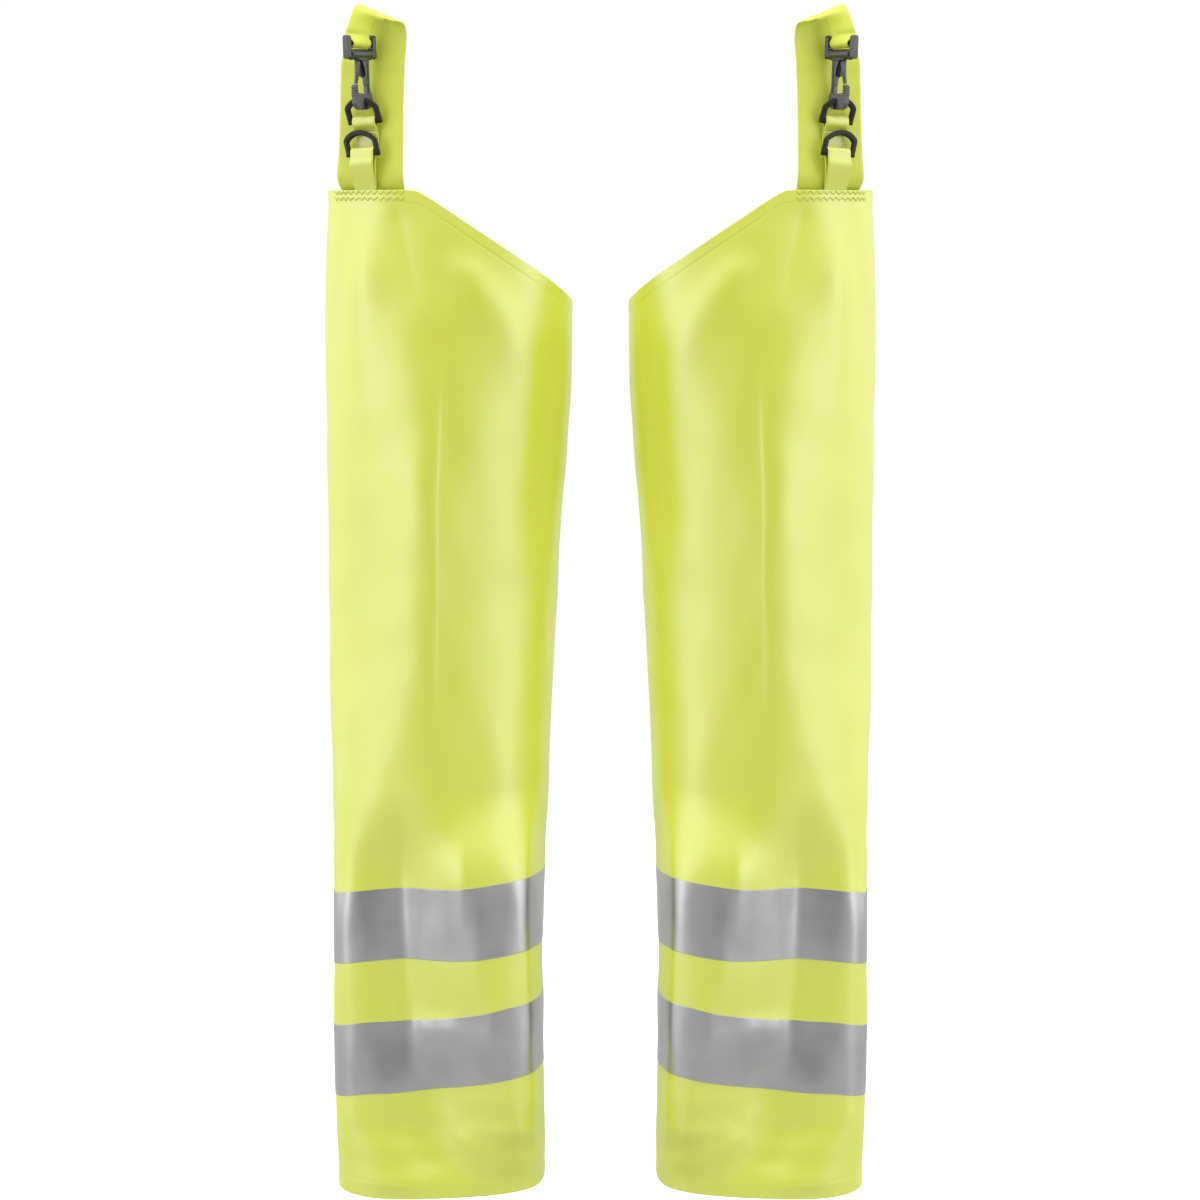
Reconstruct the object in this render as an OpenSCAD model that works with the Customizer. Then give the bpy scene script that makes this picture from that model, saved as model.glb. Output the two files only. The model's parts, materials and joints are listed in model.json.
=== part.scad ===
// A pair of high-visibility leg chaps: two open tubes of coated fabric, each with two
// reflective tapes and a strap that loops over a belt and clips back to itself.
// Millimetres, +Z up, front towards -Y. The origin is on the belt line, half-way between
// the two strap loops. "right" is the wearer's right leg, at -X; the left leg mirrors it.

/* [Leg tube] */
// Length of the outer side, from the top edge to the hem
side_length = 976; // [900:2:1050]
// Drop of the inner corner of the top edge below the outer side
crotch_drop = 100; // [60:5:140]
// Width of the leg at its top edge
top_w = 243; // [220:1:260]
// Width of the leg at the hem
hem_w = 205; // [180:1:215]
// Front-to-back size of the leg at the thigh
thigh_depth = 196; // [160:2:220]
// Front-to-back size of the leg at the hem
hem_depth = 150; // [120:2:170]
// Distance from the middle of the pair to the inner corner of the top edge
half_gap = 28; // [20:1:50]
// Thickness of the coated fabric with its backing
cloth_t = 1.5; // [1:0.1:2.5]

/* [Reflective tapes] */
// Height of each tape
tape_h = 69; // [50:1:75]
// Height of the lower tape's lower edge above the hem
tape_low = 92; // [60:1:120]
// Clear distance between the two tapes
tape_gap = 61; // [40:1:80]
// How much a tape climbs from the outer side to the inner side
tape_climb = 18; // [0:1:24]

/* [Strap] */
// Width of the wide tab
tab_w = 67; // [60:1:70]
// Thickness of the strap fabric
strap_t = 1.8; // [1.4:0.1:2]
// Width of the webbing that holds the D-rings
web_w = 24.5; // [24:0.5:24.5]
// How far the tab is turned towards the outer side, in degrees
tab_yaw = 22; // [20:1:24]

/* [Hardware] */
// Diameter of the D-ring's straight bar
bar_d = 5; // [4.6:0.1:5]
// Height of the D-ring from its straight bar to its arch, centre to centre
dee_h = 20.5; // [20:0.5:21]
// Thickness of the hook
hook_t = 6; // [5:0.5:6]
// Length of the hook from its cross barrel to the D-ring's arch
hook_reach = 42.7; // [42:0.1:43]

/* [Hidden] */

$fn = 48;
RIGHT = 1;
LEFT = -1;
fabric_colour = [0.84, 0.88, 0.43];
tape_colour = [0.62, 0.62, 0.62];
plastic_colour = [0.2, 0.2, 0.21];

// The leg frame has its origin on the tube's middle plane at the height of the top edge.
belt_height = 156;      // belt line above the leg's top edge
belt_forward = 86;      // belt line in front of the tube's middle plane

// Leg outline: height below the top edge against distance from the middle of the pair.
outer_x = half_gap + top_w;
hem_outer_x = outer_x - 10;
hem_inner_x = hem_outer_x - hem_w;
outer_line = [
    [-side_length, hem_outer_x], [-0.7 * side_length, hem_outer_x + 3],
    [-0.4 * side_length, outer_x], [-0.2 * side_length, outer_x + 3.5],
    [-crotch_drop, outer_x + 3.5], [0, outer_x]];
inner_line = [
    [-side_length, hem_inner_x], [-0.68 * side_length, hem_inner_x],
    [-0.4 * side_length, half_gap + 15], [-0.3 * side_length, half_gap + 11],
    [-0.2 * side_length, half_gap + 3], [-crotch_drop, half_gap], [0, half_gap]];
depth_line = [
    [-side_length, hem_depth / 2], [-0.5 * side_length, hem_depth / 2 + 10],
    [-0.25 * side_length, thigh_depth / 2 + 1], [-crotch_drop, thigh_depth / 2],
    [0, thigh_depth / 2 - 10]];
roundness = 2.4;        // exponent of the tube's plan: 2 is an ellipse, more is squarer
plan_step = 9;          // degrees between the points of the tube's plan
flat_top = 0.4;         // share of the width over which the top edge is level
hem_climb = 7;          // how much the hem climbs from the outer side to the inner side
skin_gap = 0.4;         // gap between the fabric and the tapes laid on it
lining_gap = 1;         // gap between the fabric and what is laid inside it
skin_t = 0.8;           // thickness of tapes and facings
facing_h = 30;
hem_band_h = 25;

// ---- the leg's surface ----

function signed_power(v, p) = sign(v) * pow(abs(v), p);

// A point of the leg's surface. turn is 0 at the outer side, 90 in front, 180 inside.
function leg_point(turn, z, off) =
    let (outer = lookup(z, outer_line), inner = lookup(z, inner_line),
         half_w = (outer - inner) / 2 + off, half_d = lookup(z, depth_line) + off,
         p = 2 / roundness)
    [-(outer + inner) / 2 - half_w * signed_power(cos(turn), p),
     -half_d * signed_power(sin(turn), p), z];

// How far across the leg a direction is: 0 at the outer side, 1 at the inner side.
function across(turn) = (1 - signed_power(cos(turn), 2 / roundness)) / 2;
function top_edge(turn) =
    -crotch_drop * max(0, across(turn) - flat_top) / (1 - flat_top);
function hem_edge(turn) = -side_length + hem_climb * across(turn);

// Directions from one turn to another, on the plan's own points between the ends.
function turns(from, to) = concat([from],
    [for (k = [ceil((from + 0.01) / plan_step) : floor((to - 0.01) / plan_step)]) k * plan_step],
    [to]);

// ---- sheets ----

// Faces of a grid of points that has a front layer, a back layer and closed edges.
function grid_faces(rows, cols) =
    let (n = rows * cols)
    concat(
        [for (i = [0 : rows - 2], j = [0 : cols - 2], k = [0, 1])
            let (a = i * cols + j, b = a + 1, c = a + cols, d = c + 1)
            k == 0 ? [a, b, d] : [a, d, c]],
        [for (i = [0 : rows - 2], j = [0 : cols - 2], k = [0, 1])
            let (a = n + i * cols + j, b = a + 1, c = a + cols, d = c + 1)
            k == 0 ? [a, d, b] : [a, c, d]],
        [for (i = [0 : rows - 2], k = [0, 1])
            let (a = i * cols, b = a + cols) k == 0 ? [a, b, b + n] : [a, b + n, a + n]],
        [for (i = [0 : rows - 2], k = [0, 1])
            let (a = i * cols + cols - 1, b = a + cols)
            k == 0 ? [a, b + n, b] : [a, a + n, b + n]],
        [for (j = [0 : cols - 2], k = [0, 1])
            let (a = j, b = j + 1) k == 0 ? [a, b + n, b] : [a, a + n, b + n]],
        [for (j = [0 : cols - 2], k = [0, 1])
            let (a = (rows - 1) * cols + j, b = a + 1)
            k == 0 ? [a, b, b + n] : [a, b + n, a + n]]);

// A piece of the leg's surface between two heights, given as functions of the direction.
module skin(from, to, inside, outside, low, high, rows) {
    t = turns(from, to);
    layer = function(off) [for (i = [0 : rows], turn = t)
        leg_point(turn, low(turn) + (high(turn) - low(turn)) * i / rows, off)];
    polyhedron(concat(layer(outside), layer(inside)), grid_faces(rows + 1, len(t)));
}

// ---- the strap's path ----

tab_centre = [-222, -75.5, 0];
function tab_point(p) = tab_centre + [
    p.x * cos(tab_yaw) + p.y * sin(tab_yaw), -p.x * sin(tab_yaw) + p.y * cos(tab_yaw), p.z];

// The strap's left and right edges in the tab's frame: across, back, and up from the leg's
// top edge. They run up the tab, over the belt, down the narrow band and round the ring's bar.
half_tab = tab_w / 2;
strap_edges = [
    [[-half_tab + 0.5, 0, 28], [half_tab - 0.5, 0, 28]],
    [[-half_tab + 0.5, 0, 80], [half_tab, 0, 80]],
    [[-half_tab + 1, 0, 125], [half_tab + 1.5, 0, 125]],
    [[-27, 0, 148], [half_tab + 3, 0, 142]],
    [[-16, -0.5, 168], [half_tab + 3.5, -0.5, 152]],
    [[-10, -3.5, 178], [half_tab + 3.5, -3, 160]],
    [[-8.5, -10, 182], [half_tab + 2.5, -8.5, 163]],
    [[-8, -17, 178], [28, -14, 163]],
    [[-8.5, -21, 171], [14, -15.5, 167]],
    [[-10, -25, 162], [9, -14, 160]],
    [[-10, -30, 152], [5.5, -13.5, 151]]];
// Then they turn round the ring's bar, on a circle square to the bar.
turn_half = 10.2;       // half the width of the turned-in end
turn_r = 3.9;           // from the bar's axis to the middle of the strap
turn_up = 5;            // how far the end reaches up behind the bar
function ring_bar() = hook_pivot + ring_reach * hook_up;
function round_bar(ahead, up) =
    [for (s = [-1, 1]) ring_bar() + s * turn_half * hook_across + ahead * hook_ahead + up * hook_up];
function strap_turn() = concat(
    [for (a = [0 : -45 : -180]) round_bar(turn_r * cos(a), turn_r * sin(a))],
    [round_bar(-turn_r, turn_up)]);
foot_turns = [34, 74];  // directions of the leg's surface that the strap's foot covers
foot_depth = 14;        // how far the foot reaches below the leg's top edge, inside the leg
foot_inset = cloth_t + lining_gap + skin_t + 0.4 + strap_t / 2;
strap_cols = 8;
strap_steps = 3;        // rows between two of the strap's given rows

function catmull(a, b, c, d, t) = 0.5 * ((2 * b) + (c - a) * t
    + (2 * a - 5 * b + 4 * c - d) * t * t + (3 * b - a - 3 * c + d) * t * t * t);
function smooth_path(points, steps) =
    let (last = len(points) - 1)
    concat([for (k = [0 : last - 1], i = [0 : steps - 1])
        catmull(points[max(k - 1, 0)], points[k], points[k + 1], points[min(k + 2, last)],
                i / steps)], [points[last]]);
function foot_row(z) = [for (j = [0 : strap_cols])
    leg_point(foot_turns[0] + (foot_turns[1] - foot_turns[0]) * j / strap_cols, z, -foot_inset)];
function strap_grid() =
    let (edges = smooth_path(concat(strap_edges, strap_turn()), strap_steps),
         band = [for (e = edges) [for (j = [0 : strap_cols])
             tab_point(e[0] + (e[1] - e[0]) * j / strap_cols)]])
    concat([foot_row(-foot_depth), foot_row(0)], band);

function unit(v) = v / norm(v);
function grid_normal(g, i, j) =
    let (rows = len(g) - 1, cols = len(g[0]) - 1,
         along = g[min(i + 1, rows)][j] - g[max(i - 1, 0)][j],
         side = g[i][min(j + 1, cols)] - g[i][max(j - 1, 0)])
    unit(cross(side, along));
// A sheet of the given thickness along a grid of points.
module thick_sheet(g, t) {
    layer = function(s) [for (i = [0 : len(g) - 1], j = [0 : len(g[0]) - 1])
        g[i][j] + s * t / 2 * grid_normal(g, i, j)];
    polyhedron(concat(layer(1), layer(-1)), grid_faces(len(g), len(g[0])));
}

// ---- where the hardware sits, in the tab's frame ----

web_x = -3.7;                       // middle of the webbing across the tab
web_t = strap_t;
bar_r = bar_d / 2;
loop_r = bar_r + 0.5;               // inner radius of a webbing loop round a bar
web_face = -strap_t / 2 - 0.1;      // the tab's front face, just clear of it
upper_bar = [web_x, web_face - web_t - loop_r, 67];
lower_bar = [web_x, web_face - 3 * web_t - loop_r - 0.1, 35];
upper_lean = 20.6;                  // the upper D-ring leans forward in the hook
lower_lean = -1.5;                  // the lower one rests back against the upper webbing
arch_top = upper_bar + dee_h * [0, -sin(upper_lean), cos(upper_lean)];
chain_pitch = 10.1;                 // the hook leans forward going up
chain_roll = 2.7;                   // and a little towards the inner side
chain_dir = [sin(chain_roll), -sin(chain_pitch), cos(chain_pitch)] ;
hook_pivot = arch_top + hook_reach * unit(chain_dir);
hook_yaw = 67;                      // the hook's plane against the tab's
ring_reach = 11;                    // from the hook's barrel to the ring's top bar
// The hook's own directions in the tab's frame: along its barrel, ahead of it, and up.
function about_x(v, d) = [v.x, v.y * cos(d) - v.z * sin(d), v.y * sin(d) + v.z * cos(d)];
function about_y(v, d) = [v.x * cos(d) + v.z * sin(d), v.y, v.z * cos(d) - v.x * sin(d)];
function about_z(v, d) = [v.x * cos(d) - v.y * sin(d), v.x * sin(d) + v.y * cos(d), v.z];
function hook_turned(v) = about_y(about_x(about_z(v, hook_yaw), chain_pitch), chain_roll);
hook_across = hook_turned([1, 0, 0]);
hook_ahead = hook_turned([0, -1, 0]);
hook_up = hook_turned([0, 0, 1]);

module place(side) {
    translate([0, belt_forward, -belt_height])
        if (side == RIGHT) children();
        else mirror([1, 0, 0]) children();
}
module on_tab(side) {
    place(side) translate(tab_centre) rotate([0, 0, -tab_yaw]) children();
}
module on_hook(side) {
    on_tab(side) translate(hook_pivot) rotate([chain_pitch, chain_roll, 0])
        rotate([0, 0, hook_yaw]) children();
}

// ---- leg pieces ----

module front_panel(side) {
    color(fabric_colour) place(side)
        skin(0, 180, -cloth_t, 0, function(a) hem_edge(a), function(a) top_edge(a), 18);
}
module back_panel(side) {
    color(fabric_colour) place(side)
        skin(180, 360, -cloth_t, 0, function(a) hem_edge(a), function(a) top_edge(a), 18);
}
module lining_strip(side, from, to, low, high, rows) {
    color(fabric_colour) place(side)
        skin(from, to, -cloth_t - lining_gap - skin_t, -cloth_t - lining_gap, low, high, rows);
}
module top_facing(side) {
    lining_strip(side, 180.5, 539.5,
        function(a) top_edge(a) - facing_h, function(a) top_edge(a) - 1, 2);
}
module hem_band(side) {
    lining_strip(side, 180.5, 539.5,
        function(a) hem_edge(a) + 1, function(a) hem_edge(a) + hem_band_h, 1);
}
seam_half = 5;          // half the seam tape's width, as a turn of the leg's plan
module seam_tape(side, turn) {
    lining_strip(side, turn - seam_half, turn + seam_half,
        function(a) hem_edge(a) + hem_band_h + 1, function(a) top_edge(a) - facing_h - 1, 18);
}
module reflective_tape(side, low) {
    color(tape_colour) place(side)
        skin(180.5, 539.5, skin_gap, skin_gap + skin_t,
            function(a) low + tape_climb * across(a),
            function(a) low + tape_h + tape_climb * across(a), 3);
}
lower_tape_z = -side_length + tape_low;
upper_tape_z = lower_tape_z + tape_h + tape_gap;

// ---- strap pieces ----

module belt_strap(side) {
    color(fabric_colour) place(side) thick_sheet(strap_grid(), strap_t);
}

// Two rows of stitches that fasten the strap's foot to the leg.
stitch_rows = [-2.5, -8.5];
stitch_count = 16;
stitch_lean = 35;
module strap_stitching(side) {
    color(fabric_colour * 0.85) place(side)
        for (z = stitch_rows, k = [0 : stitch_count - 1]) {
            turn = foot_turns[0] + 1 + (foot_turns[1] - foot_turns[0] - 2) * k / (stitch_count - 1);
            p = leg_point(turn, z, skin_gap + 0.4);
            slope = leg_point(turn + 1, z, 0) - leg_point(turn - 1, z, 0);
            translate(p) rotate([0, 0, atan2(slope.y, slope.x)])
                rotate([0, k % 2 == 0 ? stitch_lean : -stitch_lean, 0])
                    cube([0.6, 0.6, 3.4], center = true);
        }
}

// Webbing folded over a bar, seen from the side: x is forward from the bar, y is up.
loop_slack = 3;         // the fold stands this far above a snug one
loop_neck = 12;         // below this the two layers lie together
arc_step = 12;
function arc(radius, rise, from, to) =
    [for (a = [from : arc_step : to]) [radius * cos(a), rise + radius * sin(a)]];
module webbing_profile(bar, foot) {
    layer = loop_r + web_t;
    fold = 2 * web_t - layer;               // front of the two layers below the neck
    difference() {
        polygon(concat(arc(layer, loop_slack, 0, 180),
            [[-layer, foot - bar.z], [fold, foot - bar.z], [fold, -loop_neck], [layer, 0]]));
        polygon(concat(arc(loop_r, loop_slack, 0, 180), arc(loop_r, 0, 180, 360)));
    }
}
module webbing(side, bar, foot) {
    color(fabric_colour) on_tab(side)
        translate([bar.x - web_w / 2, bar.y, bar.z])
            rotate([0, 0, 90]) rotate([90, 0, 0]) mirror([1, 0, 0])
                linear_extrude(web_w) webbing_profile(bar, foot);
}
web_foot = 8;           // the webbing ends this far above the leg's top edge
module upper_webbing(side) { webbing(side, upper_bar, web_foot); }
module lower_webbing(side) { webbing(side, lower_bar, web_foot); }

// ---- hardware ----

dee_w = 36;             // outer width
dee_t = 4.6;            // thickness of the flat part
dee_rim = 5.4;          // width of the flat part
dee_shoulder = 12.5;    // height of the legs up to the arch
dee_toe = 4;            // chamfer at the legs' feet
module dee_outline(grow) {
    half = dee_w / 2 - dee_rim / 2 + grow;
    rise = dee_h - dee_shoulder;
    radius = (half * half + rise * rise) / (2 * rise) + grow / 2;
    foot = -bar_r * (grow > 0 ? 1 : -1);
    toe = grow > 0 ? dee_toe : 0.01;
    intersection() {
        translate([0, dee_h + grow - radius]) circle(radius, $fn = 96);
        polygon([[-half + toe, foot], [half - toe, foot], [half, foot + toe],
                 [half, dee_h + 2 * dee_rim], [-half, dee_h + 2 * dee_rim], [-half, foot + toe]]);
    }
}
// The flat D: the bar is round between the legs, where the webbing turns on it.
module dee() {
    inner = dee_w / 2 - dee_rim;
    rotate([90, 0, 0]) translate([0, 0, -dee_t / 2]) linear_extrude(dee_t)
        difference() {
            dee_outline(dee_rim / 2);
            intersection() {
                dee_outline(-dee_rim / 2);
                translate([-inner, bar_r]) square([2 * inner, dee_h]);
            }
            translate([-inner, -2 * bar_r]) square([2 * inner, 3 * bar_r + 0.1]);
        }
    translate([-inner - 1, 0, 0]) rotate([0, 90, 0]) cylinder(h = 2 * inner + 2, r = bar_r);
}
module upper_d_ring(side) {
    color(plastic_colour) on_tab(side) translate(upper_bar) rotate([upper_lean, 0, 0]) dee();
}
module lower_d_ring(side) {
    color(plastic_colour) on_tab(side) translate(lower_bar) rotate([lower_lean, 0, 0]) dee();
}

// The ring that the strap's end is sewn round; the hook's barrel turns between its ears.
ear_in = 13.1;          // inner face of an ear, from the middle
ear_t = 4.5;
ear_d = 8;
ear_low = 4.5;          // below the hook's pivot
ear_high = 18;          // above it
stub_r = 2.4;
module ear() {
    difference() {
        translate([ear_in + ear_t / 2, 0, 0]) rotate([90, 0, 90])
            translate([0, 0, -ear_t / 2]) linear_extrude(ear_t)
                translate([0, (ear_high - ear_low) / 2]) offset(2.5, $fn = 32)
                    square([ear_d - 5, ear_high + ear_low - 5], center = true);
        rotate([0, 90, 0]) cylinder(h = 40, r = stub_r + 0.05);
    }
}
module strap_ring(side) {
    color(plastic_colour) on_hook(side) {
        ear();
        mirror([1, 0, 0]) ear();
        translate([-ear_in - 0.5, 0, ring_reach]) rotate([0, 90, 0])
            cylinder(h = 2 * ear_in + 1, r = 2.2);
    }
}

// The hook in its own plane: x across, y up from the barrel's axis.
slot_l = -5.9;
slot_r = 5.3;
slot_floor = -46.9;
mouth_top = -28.4;      // upper end of the nose
gate_root = [-3.4, -8];
gate_tip = [-7.2, -26.6];
gate_r = 1.6;
gate_tip_r = 1;
gate_t = hook_t - 0.8;
gate_blend = 0.93;      // the flat part is a little thinner than the round ends
gate_side = unit([gate_root.y - gate_tip.y, gate_tip.x - gate_root.x]);
module hook_outline() {
    difference() {
        union() {
            polygon([[-5.2, 0], [8.6, 0], [8.6, -30], [10.4, -42], [10.4, -47], [7.2, -51],
                     [2.6, -52.2], [-4, -52.2], [-8, -50], [-9.6, -46], [-9.6, -33],
                     [-9, mouth_top], [-6.4, mouth_top], [-6, -24], [-5.2, -10]]);
        }
        // the slot that the D-ring's arch lies in, and the throat above it
        translate([(slot_l + slot_r) / 2, slot_floor + 2.5]) hull() {
            translate([(slot_l - slot_r) / 2 + 2.5, 0]) circle(2.5);
            translate([(slot_r - slot_l) / 2 - 2.5, 0]) circle(2.5);
            translate([0, 15]) square([slot_r - slot_l, 1], center = true);
        }
        polygon([[slot_l, -32], [slot_r, -32], [2.6, -12], [0.4, -7], [-1.2, -5.4],
                 [-5.6, -5.4], [-10, -12], [-10, mouth_top + 0.01], [slot_l, mouth_top + 0.01]]);
    }
}
module hook_body(side) {
    color(plastic_colour) on_hook(side) {
        rotate([90, 0, 0]) translate([0, 0, -hook_t / 2]) linear_extrude(hook_t) hook_outline();
        translate([-ear_in + 0.3, 0, 0]) rotate([0, 90, 0])
            cylinder(h = 2 * ear_in - 0.6, r = 5);
        translate([-ear_in - ear_t, 0, 0]) rotate([0, 90, 0])
            cylinder(h = 2 * ear_in + 2 * ear_t, r = stub_r);
    }
}
// The sprung tongue that closes the hook; it turns at its upper end.
module hook_gate(side) {
    color(plastic_colour) on_hook(side)
        rotate([90, 0, 0]) translate([0, 0, -hook_t / 2 + 0.4]) {
            translate(gate_root) cylinder(h = gate_t, r = gate_r);
            translate(gate_tip) cylinder(h = gate_t, r = gate_tip_r);
            linear_extrude(gate_t)
                polygon([gate_root - gate_side * gate_blend * gate_r,
                         gate_root + gate_side * gate_blend * gate_r,
                         gate_tip + gate_side * gate_blend * gate_tip_r,
                         gate_tip - gate_side * gate_blend * gate_tip_r]);
        }
}

// ---- one line for each node ----

front_panel(RIGHT);  // right_front_panel
back_panel(RIGHT);  // right_back_panel
top_facing(RIGHT);  // right_top_facing
hem_band(RIGHT);  // right_hem_band
seam_tape(RIGHT, 180);  // right_inseam_tape
seam_tape(RIGHT, 0);  // right_outseam_tape
reflective_tape(RIGHT, upper_tape_z);  // right_upper_reflective_tape
reflective_tape(RIGHT, lower_tape_z);  // right_lower_reflective_tape
belt_strap(RIGHT);  // right_belt_strap
strap_stitching(RIGHT);  // right_strap_stitching
upper_webbing(RIGHT);  // right_upper_webbing
lower_webbing(RIGHT);  // right_lower_webbing
upper_d_ring(RIGHT);  // right_upper_d_ring
lower_d_ring(RIGHT);  // right_lower_d_ring
strap_ring(RIGHT);  // right_strap_ring
hook_body(RIGHT);  // right_hook_body
hook_gate(RIGHT);  // right_hook_gate
front_panel(LEFT);  // left_front_panel
back_panel(LEFT);  // left_back_panel
top_facing(LEFT);  // left_top_facing
hem_band(LEFT);  // left_hem_band
seam_tape(LEFT, 180);  // left_inseam_tape
seam_tape(LEFT, 0);  // left_outseam_tape
reflective_tape(LEFT, upper_tape_z);  // left_upper_reflective_tape
reflective_tape(LEFT, lower_tape_z);  // left_lower_reflective_tape
belt_strap(LEFT);  // left_belt_strap
strap_stitching(LEFT);  // left_strap_stitching
upper_webbing(LEFT);  // left_upper_webbing
lower_webbing(LEFT);  // left_lower_webbing
upper_d_ring(LEFT);  // left_upper_d_ring
lower_d_ring(LEFT);  // left_lower_d_ring
strap_ring(LEFT);  // left_strap_ring
hook_body(LEFT);  // left_hook_body
hook_gate(LEFT);  // left_hook_gate
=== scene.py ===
"""Looks of a pair of high-visibility leg chaps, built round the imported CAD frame.

Blender works in metres, +Z up, front towards -Y, with the origin on the belt line. The cloth is
worked out in millimetres in the leg frame, whose origin is on the tube's middle plane at the
height of the leg's top edge. The right leg is built at -X and the left one is its mirror image.
"""
import json
import math

import bpy
import bmesh
import numpy as np
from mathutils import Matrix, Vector


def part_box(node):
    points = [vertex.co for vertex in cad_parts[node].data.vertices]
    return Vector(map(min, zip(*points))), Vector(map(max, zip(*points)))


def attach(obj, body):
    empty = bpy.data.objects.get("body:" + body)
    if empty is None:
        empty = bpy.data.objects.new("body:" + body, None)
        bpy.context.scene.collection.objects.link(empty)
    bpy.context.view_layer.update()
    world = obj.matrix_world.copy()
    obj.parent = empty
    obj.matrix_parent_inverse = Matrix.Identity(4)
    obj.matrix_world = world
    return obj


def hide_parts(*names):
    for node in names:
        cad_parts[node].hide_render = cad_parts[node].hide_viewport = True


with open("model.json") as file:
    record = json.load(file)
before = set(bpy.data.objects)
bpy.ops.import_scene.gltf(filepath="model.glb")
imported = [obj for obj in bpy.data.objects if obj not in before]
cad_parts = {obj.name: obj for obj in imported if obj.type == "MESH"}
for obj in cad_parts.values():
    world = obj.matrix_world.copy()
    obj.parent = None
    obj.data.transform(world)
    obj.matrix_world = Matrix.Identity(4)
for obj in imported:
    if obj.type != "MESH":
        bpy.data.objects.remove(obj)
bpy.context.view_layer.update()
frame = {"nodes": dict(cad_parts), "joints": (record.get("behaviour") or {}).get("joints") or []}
MM = 0.001
RIGHT, LEFT = "right", "left"

# ---- driving sizes, from the frame ----
panel_low, panel_high = (np.array(corner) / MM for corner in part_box("right_front_panel"))
belt_height = -panel_high[2]
belt_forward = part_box("right_back_panel")[0][1] / MM  # the tube's middle plane
side_length = panel_high[2] - panel_low[2]
JOINTS = {joint["name"]: joint for joint in frame["joints"]}

# ---- the leg's form, in millimetres ----
TOP_WIDTH, HALF_GAP = 243, 28
OUTER_X = HALF_GAP + TOP_WIDTH
HEM_OUTER_X, HEM_INNER_X = 261, 56
OUTER_LINE = [(-side_length, HEM_OUTER_X), (-850, 262), (-683, 264), (-520, 268), (-390, 271),
              (-195, 274.5), (-100, 274.5), (-40, 272.5), (0, OUTER_X)]
INNER_LINE = [(-side_length, HEM_INNER_X), (-664, HEM_INNER_X), (-540, 50), (-390, 43), (-293, 39),
              (-195, 31), (-100, HALF_GAP), (0, HALF_GAP)]
DEPTH_LINE = [(-side_length, 75), (-488, 85), (-244, 98), (-100, 97), (0, 88)]
# The exponent of the plan, by height: 2 is an ellipse, more is squarer.
ROUNDNESS_LINE = [(-side_length, 3), (-870, 3.7), (-690, 3.6), (-610, 2.6), (-520, 2.1),
                  (-130, 2.05), (-60, 2.3), (0, 2.4)]
CROTCH_DROP = 96
FLAT_TOP = 0.385         # share of the width over which the top edge is level
HEM_CLIMB = 7
EDGE_LEVEL = 1.2         # the level part is this far below the panels' highest point
OUTER_RISE = 14          # the edge rises to the outer seam
HEM_SAG, HEM_SIDE_RISE = 2.5, 4
GIRTH = 650              # mean distance round the leg
CLOTH_T = 1.2
TAPE_H, TAPE_LOW, TAPE_GAP = 69, 94, 61
# How far each tape has climbed, by share of the width.
UPPER_CLIMB = [(0, 0), (.15, 4), (.35, 7), (.6, 8), (.8, 13), (1, 21)]
LOWER_CLIMB = [(0, 0), (.15, 5), (.35, 7), (.55, 12), (.7, 18), (.85, 25), (1, 31)]


def signed_power(v, p):
    return np.sign(v) * np.abs(v) ** p


def smooth_lookup(z, points):
    """A smooth curve through (height, value) points."""
    x, y = np.array(sorted(points), float).T
    slope = np.gradient(y, x)
    z = np.clip(z, x[0], x[-1])
    i = np.clip(np.searchsorted(x, z) - 1, 0, len(x) - 2)
    step = x[i + 1] - x[i]
    t = (z - x[i]) / step
    return ((2 * t**3 - 3 * t**2 + 1) * y[i] + (t**3 - 2 * t**2 + t) * step * slope[i]
            + (3 * t**2 - 2 * t**3) * y[i + 1] + (t**3 - t**2) * step * slope[i + 1])


# A round-the-leg place goes from 0 at the outer side to 0.25 in front, 0.5 inside and 1 again.
TOP_ROUNDNESS = ROUNDNESS_LINE[-1][1]
_turns = np.linspace(0, 2 * math.pi, 1441)
_plan = np.stack([115 * signed_power(np.cos(_turns), 2 / TOP_ROUNDNESS),
                  88 * signed_power(np.sin(_turns), 2 / TOP_ROUNDNESS)], -1)
_arc = np.concatenate([[0], np.cumsum(np.linalg.norm(np.diff(_plan, axis=0), axis=1))])
_arc /= _arc[-1]


def turn_at(place):
    return np.interp(np.mod(place, 1), _arc, _turns) + 2 * math.pi * np.floor(place)


def across_at(place, z):
    """0 at the outer side, 1 at the inner side."""
    roundness = smooth_lookup(z, ROUNDNESS_LINE)
    return (1 - signed_power(np.cos(turn_at(place)), 2 / roundness)) / 2


def place_at(across, z, behind=False):
    """The round-the-leg place of a share of the width, in front or behind."""
    turn = np.arccos(signed_power(1 - 2 * across, smooth_lookup(z, ROUNDNESS_LINE) / 2))
    place = np.interp(turn, _turns, _arc)
    return 1 - place if behind else place


def plain_point(place, z):
    """The leg's surface without folds."""
    turn = turn_at(place)
    outer, inner = smooth_lookup(z, OUTER_LINE), smooth_lookup(z, INNER_LINE)
    depth = smooth_lookup(z, DEPTH_LINE)
    p = 2 / smooth_lookup(z, ROUNDNESS_LINE)
    x = -(outer + inner) / 2 - (outer - inner) / 2 * signed_power(np.cos(turn), p)
    y = -depth * signed_power(np.sin(turn), p)
    return np.stack([x, y, np.broadcast_to(z, x.shape)], -1)


def top_edge(place):
    """Height of the top edge: level, then falling towards the inner side."""
    across = across_at(place, 0)
    fall = CROTCH_DROP / (1 - FLAT_TOP)
    corner = 0.012
    slope = fall * corner * np.logaddexp(0, (across - FLAT_TOP) / corner)
    forward = np.abs(np.sin(turn_at(place))) ** (2 / TOP_ROUNDNESS)
    rise = OUTER_RISE * (1 - forward) * (across < 0.5)
    return rise - slope - EDGE_LEVEL


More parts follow.
